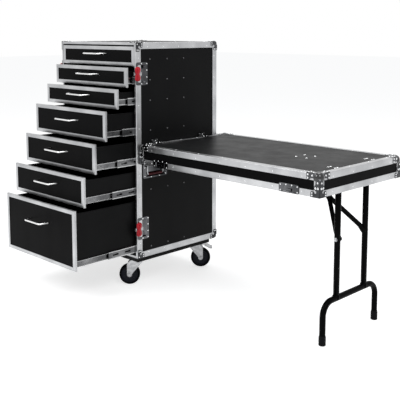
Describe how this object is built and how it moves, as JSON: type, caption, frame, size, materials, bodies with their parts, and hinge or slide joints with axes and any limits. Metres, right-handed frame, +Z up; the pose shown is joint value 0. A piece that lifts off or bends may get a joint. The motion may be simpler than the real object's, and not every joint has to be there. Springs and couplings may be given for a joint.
{
  "type": "road case with drawers",
  "caption": "Upright road case on swivel castors with sliding drawers; its front lid hangs on one side as a work table on a folding leg.",
  "frame": {"origin": "on the floor, under the middle of the bounding box of the case with its drawers open and its table hung", "axes": "+Z up, +X from the case to the table, drawers open towards -Y"},
  "size_m": [1.6234, 0.9936, 1.184],
  "materials": {
    "laminate": "black laminated plywood, satin",
    "drawer_black": "black laminated plywood, satin",
    "aluminium": "satin anodised",
    "chrome": "bright plated",
    "zinc": "zinc plated",
    "red": "gloss red",
    "grip_rubber": "matt dark red",
    "tyre": "matt black",
    "black_steel": "gloss black powder coat"
  },
  "bodies": {
    "case": {"case_frame": "aluminium", "right_panel": "laminate", "left_panel": "laminate", "top_panel": "laminate", "bottom_panel": "laminate", "back_panel": "laminate", "castor_board": "laminate", "carry_dish_right": "chrome", "carry_dish_left": "chrome"},
    "drawer_1": {"drawer_1_box": "drawer_black", "drawer_1_trim": "aluminium"},
    "middle_runner_1_right": {"middle_runner_1_right": "zinc"},
    "middle_runner_1_left": {"middle_runner_1_left": "zinc"},
    "drawer_2": {"drawer_2_box": "drawer_black", "drawer_2_trim": "aluminium"},
    "middle_runner_2_right": {"middle_runner_2_right": "zinc"},
    "middle_runner_2_left": {"middle_runner_2_left": "zinc"},
    "drawer_3": {"drawer_3_box": "drawer_black", "drawer_3_trim": "aluminium"},
    "middle_runner_3_right": {"middle_runner_3_right": "zinc"},
    "middle_runner_3_left": {"middle_runner_3_left": "zinc"},
    "drawer_4": {"drawer_4_box": "drawer_black", "drawer_4_trim": "aluminium"},
    "middle_runner_4_right": {"middle_runner_4_right": "zinc"},
    "middle_runner_4_left": {"middle_runner_4_left": "zinc"},
    "drawer_5": {"drawer_5_box": "drawer_black", "drawer_5_trim": "aluminium"},
    "middle_runner_5_right": {"middle_runner_5_right": "zinc"},
    "middle_runner_5_left": {"middle_runner_5_left": "zinc"},
    "drawer_6": {"drawer_6_box": "drawer_black", "drawer_6_trim": "aluminium"},
    "middle_runner_6_right": {"middle_runner_6_right": "zinc"},
    "middle_runner_6_left": {"middle_runner_6_left": "zinc"},
    "drawer_7": {"drawer_7_box": "drawer_black", "drawer_7_trim": "aluminium"},
    "middle_runner_7_right": {"middle_runner_7_right": "zinc"},
    "middle_runner_7_left": {"middle_runner_7_left": "zinc"},
    "castor_fork_front_right": {"castor_fork_front_right": "zinc"},
    "castor_wheel_front_right": {"castor_wheel_front_right": "tyre"},
    "castor_fork_front_left": {"castor_fork_front_left": "zinc"},
    "castor_wheel_front_left": {"castor_wheel_front_left": "tyre"},
    "castor_fork_rear_right": {"castor_fork_rear_right": "zinc"},
    "castor_wheel_rear_right": {"castor_wheel_rear_right": "tyre"},
    "castor_pedal_rear_right": {"castor_pedal_rear_right": "zinc"},
    "castor_fork_rear_left": {"castor_fork_rear_left": "zinc"},
    "castor_wheel_rear_left": {"castor_wheel_rear_left": "tyre"},
    "castor_pedal_rear_left": {"castor_pedal_rear_left": "zinc"},
    "latch_handle_right_low": {"latch_handle_right_low": "red"},
    "latch_handle_right_high": {"latch_handle_right_high": "red"},
    "carry_grip_right": {"carry_grip_right": "grip_rubber"},
    "latch_handle_left_low": {"latch_handle_left_low": "red"},
    "latch_handle_left_high": {"latch_handle_left_high": "red"},
    "carry_grip_left": {"carry_grip_left": "grip_rubber"},
    "table": {"table_panel": "laminate", "table_walls": "laminate", "table_frame": "aluminium", "toggle_bracket": "zinc"},
    "leg": {"leg_frame": "black_steel"},
    "upper_link": {"upper_link": "black_steel"},
    "wishbone": {"wishbone_brace": "black_steel"}
  },
  "joints": [
    {"name": "drawer_1_slide", "type": "slide", "parent": "case", "child": "drawer_1", "axis": [0, -1, 0], "range_m": [0, 0.44]},
    {"name": "middle_runner_1_right_slide", "type": "slide", "parent": "case", "child": "middle_runner_1_right", "axis": [0, -1, 0], "range_m": [0, 0.22]},
    {"name": "middle_runner_1_left_slide", "type": "slide", "parent": "case", "child": "middle_runner_1_left", "axis": [0, -1, 0], "range_m": [0, 0.22]},
    {"name": "drawer_2_slide", "type": "slide", "parent": "case", "child": "drawer_2", "axis": [0, -1, 0], "range_m": [-0.046, 0.394]},
    {"name": "middle_runner_2_right_slide", "type": "slide", "parent": "case", "child": "middle_runner_2_right", "axis": [0, -1, 0], "range_m": [-0.023, 0.197]},
    {"name": "middle_runner_2_left_slide", "type": "slide", "parent": "case", "child": "middle_runner_2_left", "axis": [0, -1, 0], "range_m": [-0.023, 0.197]},
    {"name": "drawer_3_slide", "type": "slide", "parent": "case", "child": "drawer_3", "axis": [0, -1, 0], "range_m": [-0.103, 0.337]},
    {"name": "middle_runner_3_right_slide", "type": "slide", "parent": "case", "child": "middle_runner_3_right", "axis": [0, -1, 0], "range_m": [-0.0515, 0.1685]},
    {"name": "middle_runner_3_left_slide", "type": "slide", "parent": "case", "child": "middle_runner_3_left", "axis": [0, -1, 0], "range_m": [-0.0515, 0.1685]},
    {"name": "drawer_4_slide", "type": "slide", "parent": "case", "child": "drawer_4", "axis": [0, -1, 0], "range_m": [-0.172, 0.268]},
    {"name": "middle_runner_4_right_slide", "type": "slide", "parent": "case", "child": "middle_runner_4_right", "axis": [0, -1, 0], "range_m": [-0.086, 0.134]},
    {"name": "middle_runner_4_left_slide", "type": "slide", "parent": "case", "child": "middle_runner_4_left", "axis": [0, -1, 0], "range_m": [-0.086, 0.134]},
    {"name": "drawer_5_slide", "type": "slide", "parent": "case", "child": "drawer_5", "axis": [0, -1, 0], "range_m": [-0.234, 0.206]},
    {"name": "middle_runner_5_right_slide", "type": "slide", "parent": "case", "child": "middle_runner_5_right", "axis": [0, -1, 0], "range_m": [-0.117, 0.103]},
    {"name": "middle_runner_5_left_slide", "type": "slide", "parent": "case", "child": "middle_runner_5_left", "axis": [0, -1, 0], "range_m": [-0.117, 0.103]},
    {"name": "drawer_6_slide", "type": "slide", "parent": "case", "child": "drawer_6", "axis": [0, -1, 0], "range_m": [-0.297, 0.143]},
    {"name": "middle_runner_6_right_slide", "type": "slide", "parent": "case", "child": "middle_runner_6_right", "axis": [0, -1, 0], "range_m": [-0.1485, 0.0715]},
    {"name": "middle_runner_6_left_slide", "type": "slide", "parent": "case", "child": "middle_runner_6_left", "axis": [0, -1, 0], "range_m": [-0.1485, 0.0715]},
    {"name": "drawer_7_slide", "type": "slide", "parent": "case", "child": "drawer_7", "axis": [0, -1, 0], "range_m": [-0.35, 0.09]},
    {"name": "middle_runner_7_right_slide", "type": "slide", "parent": "case", "child": "middle_runner_7_right", "axis": [0, -1, 0], "range_m": [-0.175, 0.045]},
    {"name": "middle_runner_7_left_slide", "type": "slide", "parent": "case", "child": "middle_runner_7_left", "axis": [0, -1, 0], "range_m": [-0.175, 0.045]},
    {"name": "castor_swivel_front_right", "type": "hinge", "parent": "case", "child": "castor_fork_front_right", "pos_m": [-0.3113, -0.02517, 0.13], "axis": [0, 0, 1], "continuous": true},
    {"name": "castor_roll_front_right", "type": "hinge", "parent": "castor_fork_front_right", "child": "castor_wheel_front_right", "pos_m": [-0.33836, -0.05185, 0.051], "axis": [0.7022, -0.712, 0], "continuous": true},
    {"name": "castor_swivel_front_left", "type": "hinge", "parent": "case", "child": "castor_fork_front_left", "pos_m": [-0.7053, -0.02517, 0.13], "axis": [0, 0, 1], "continuous": true},
    {"name": "castor_roll_front_left", "type": "hinge", "parent": "castor_fork_front_left", "child": "castor_wheel_front_left", "pos_m": [-0.73236, -0.05185, 0.051], "axis": [0.7022, -0.712, 0], "continuous": true},
    {"name": "castor_swivel_rear_right", "type": "hinge", "parent": "case", "child": "castor_fork_rear_right", "pos_m": [-0.3113, 0.36083, 0.13], "axis": [0, 0, 1], "continuous": true},
    {"name": "castor_roll_rear_right", "type": "hinge", "parent": "castor_fork_rear_right", "child": "castor_wheel_rear_right", "pos_m": [-0.28424, 0.38751, 0.051], "axis": [-0.7022, 0.712, 0], "continuous": true},
    {"name": "castor_brake_rear_right", "type": "hinge", "parent": "castor_fork_rear_right", "child": "castor_pedal_rear_right", "pos_m": [-0.2814, 0.39032, 0.1157], "axis": [-0.7022, 0.712, 0], "range_deg": [0, 12]},
    {"name": "castor_swivel_rear_left", "type": "hinge", "parent": "case", "child": "castor_fork_rear_left", "pos_m": [-0.7053, 0.36083, 0.13], "axis": [0, 0, 1], "continuous": true},
    {"name": "castor_roll_rear_left", "type": "hinge", "parent": "castor_fork_rear_left", "child": "castor_wheel_rear_left", "pos_m": [-0.67824, 0.38751, 0.051], "axis": [-0.7022, 0.712, 0], "continuous": true},
    {"name": "castor_brake_rear_left", "type": "hinge", "parent": "castor_fork_rear_left", "child": "castor_pedal_rear_left", "pos_m": [-0.67539, 0.39032, 0.1157], "axis": [-0.7022, 0.712, 0], "range_deg": [0, 12]},
    {"name": "latch_turn_right_low", "type": "hinge", "parent": "case", "child": "latch_handle_right_low", "pos_m": [-0.2136, -0.09667, 0.304], "axis": [1, 0, 0], "range_deg": [0, 180]},
    {"name": "latch_turn_right_high", "type": "hinge", "parent": "case", "child": "latch_handle_right_high", "pos_m": [-0.2136, -0.09667, 1.036], "axis": [1, 0, 0], "range_deg": [0, 180]},
    {"name": "carry_lift_right", "type": "hinge", "parent": "case", "child": "carry_grip_right", "pos_m": [-0.2189, 0.01283, 0.597], "axis": [0, -1, 0], "range_deg": [0, 88], "stiffness_Nm_per_rad": 0.3, "springref_deg": -17.19},
    {"name": "latch_turn_left_low", "type": "hinge", "parent": "case", "child": "latch_handle_left_low", "pos_m": [-0.803, -0.09667, 0.304], "axis": [-1, 0, 0], "range_deg": [0, 180]},
    {"name": "latch_turn_left_high", "type": "hinge", "parent": "case", "child": "latch_handle_left_high", "pos_m": [-0.803, -0.09667, 1.036], "axis": [-1, 0, 0], "range_deg": [0, 180]},
    {"name": "carry_lift_left", "type": "hinge", "parent": "case", "child": "carry_grip_left", "pos_m": [-0.7977, 0.01283, 0.597], "axis": [0, 1, 0], "range_deg": [0, 88], "stiffness_Nm_per_rad": 0.3, "springref_deg": -17.19},
    {"name": "table_lift", "type": "slide", "parent": "case", "child": "table", "axis": [0, 0, 1], "range_m": [0, 0.2]},
    {"name": "leg_fold", "type": "hinge", "parent": "table", "child": "leg", "pos_m": [0.7607, 0.20183, 0.679], "axis": [0, 1, 0], "range_deg": [0, 90]},
    {"name": "upper_link_fold", "type": "hinge", "parent": "table", "child": "upper_link", "pos_m": [0.5417, 0.20183, 0.679], "axis": [0, 1, 0], "range_deg": [-50.6, 0]},
    {"name": "wishbone_fold", "type": "hinge", "parent": "upper_link", "child": "wishbone", "pos_m": [0.6367, 0.20183, 0.5636], "axis": [0, 1, 0], "range_deg": [0, 180.1]}
  ],
  "couplings": [
    {"joint": "middle_runner_1_right_slide", "follows": "drawer_1_slide", "ratio": 0.5},
    {"joint": "middle_runner_1_left_slide", "follows": "drawer_1_slide", "ratio": 0.5},
    {"joint": "middle_runner_2_right_slide", "follows": "drawer_2_slide", "ratio": 0.5},
    {"joint": "middle_runner_2_left_slide", "follows": "drawer_2_slide", "ratio": 0.5},
    {"joint": "middle_runner_3_right_slide", "follows": "drawer_3_slide", "ratio": 0.5},
    {"joint": "middle_runner_3_left_slide", "follows": "drawer_3_slide", "ratio": 0.5},
    {"joint": "middle_runner_4_right_slide", "follows": "drawer_4_slide", "ratio": 0.5},
    {"joint": "middle_runner_4_left_slide", "follows": "drawer_4_slide", "ratio": 0.5},
    {"joint": "middle_runner_5_right_slide", "follows": "drawer_5_slide", "ratio": 0.5},
    {"joint": "middle_runner_5_left_slide", "follows": "drawer_5_slide", "ratio": 0.5},
    {"joint": "middle_runner_6_right_slide", "follows": "drawer_6_slide", "ratio": 0.5},
    {"joint": "middle_runner_6_left_slide", "follows": "drawer_6_slide", "ratio": 0.5},
    {"joint": "middle_runner_7_right_slide", "follows": "drawer_7_slide", "ratio": 0.5},
    {"joint": "middle_runner_7_left_slide", "follows": "drawer_7_slide", "ratio": 0.5},
    {"joint": "upper_link_fold", "follows": "leg_fold", "ratio": -0.561},
    {"joint": "wishbone_fold", "follows": "leg_fold", "ratio": 2}
  ]
}
